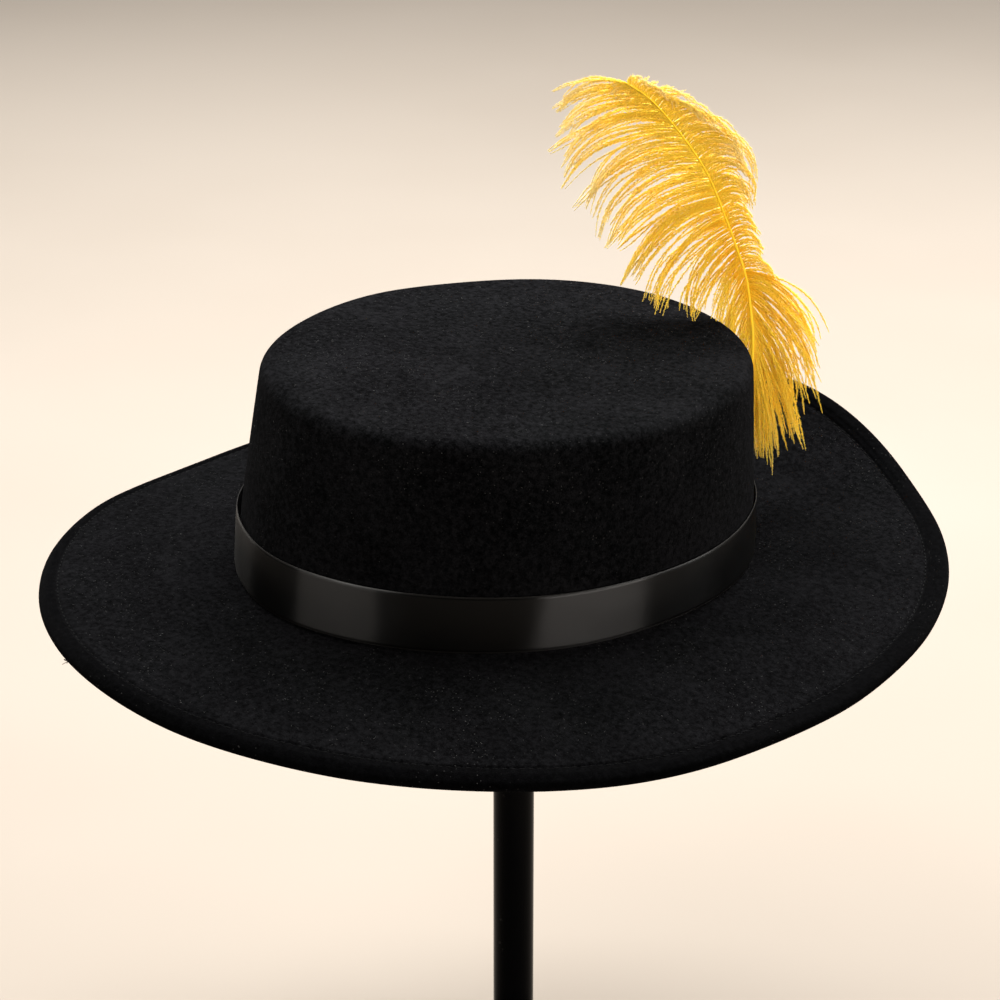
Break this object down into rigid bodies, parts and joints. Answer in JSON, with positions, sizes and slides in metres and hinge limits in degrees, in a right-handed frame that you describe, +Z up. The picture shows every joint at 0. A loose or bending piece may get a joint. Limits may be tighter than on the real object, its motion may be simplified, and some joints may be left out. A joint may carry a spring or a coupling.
{
  "type": "cavalier hat on a plain hat stand",
  "caption": "Wide-brimmed black felt hat with a low flat crown, a satin ribbon and a yellow ostrich plume, on a plain post stand.",
  "frame": {"origin": "centre of the underside of the stand's base, on the surface that it stands on", "axes": "+Z up along the stand's post, -Y towards the front of the hat, +X towards the wearer's left"},
  "size_m": [0.3107, 0.3413, 0.4107],
  "materials": {
    "black_felt": "matt wool felt with a short nap",
    "black_satin": "glossy satin weave",
    "yellow_plume": "soft dyed feather",
    "stand_black": "gloss black"
  },
  "bodies": {
    "root": {"felt_body": "black_felt", "ribbon_band": "black_satin", "ostrich_plume": "yellow_plume", "stand_base": "stand_black", "stand_post": "stand_black", "stand_head": "stand_black"}
  },
  "joints": []
}
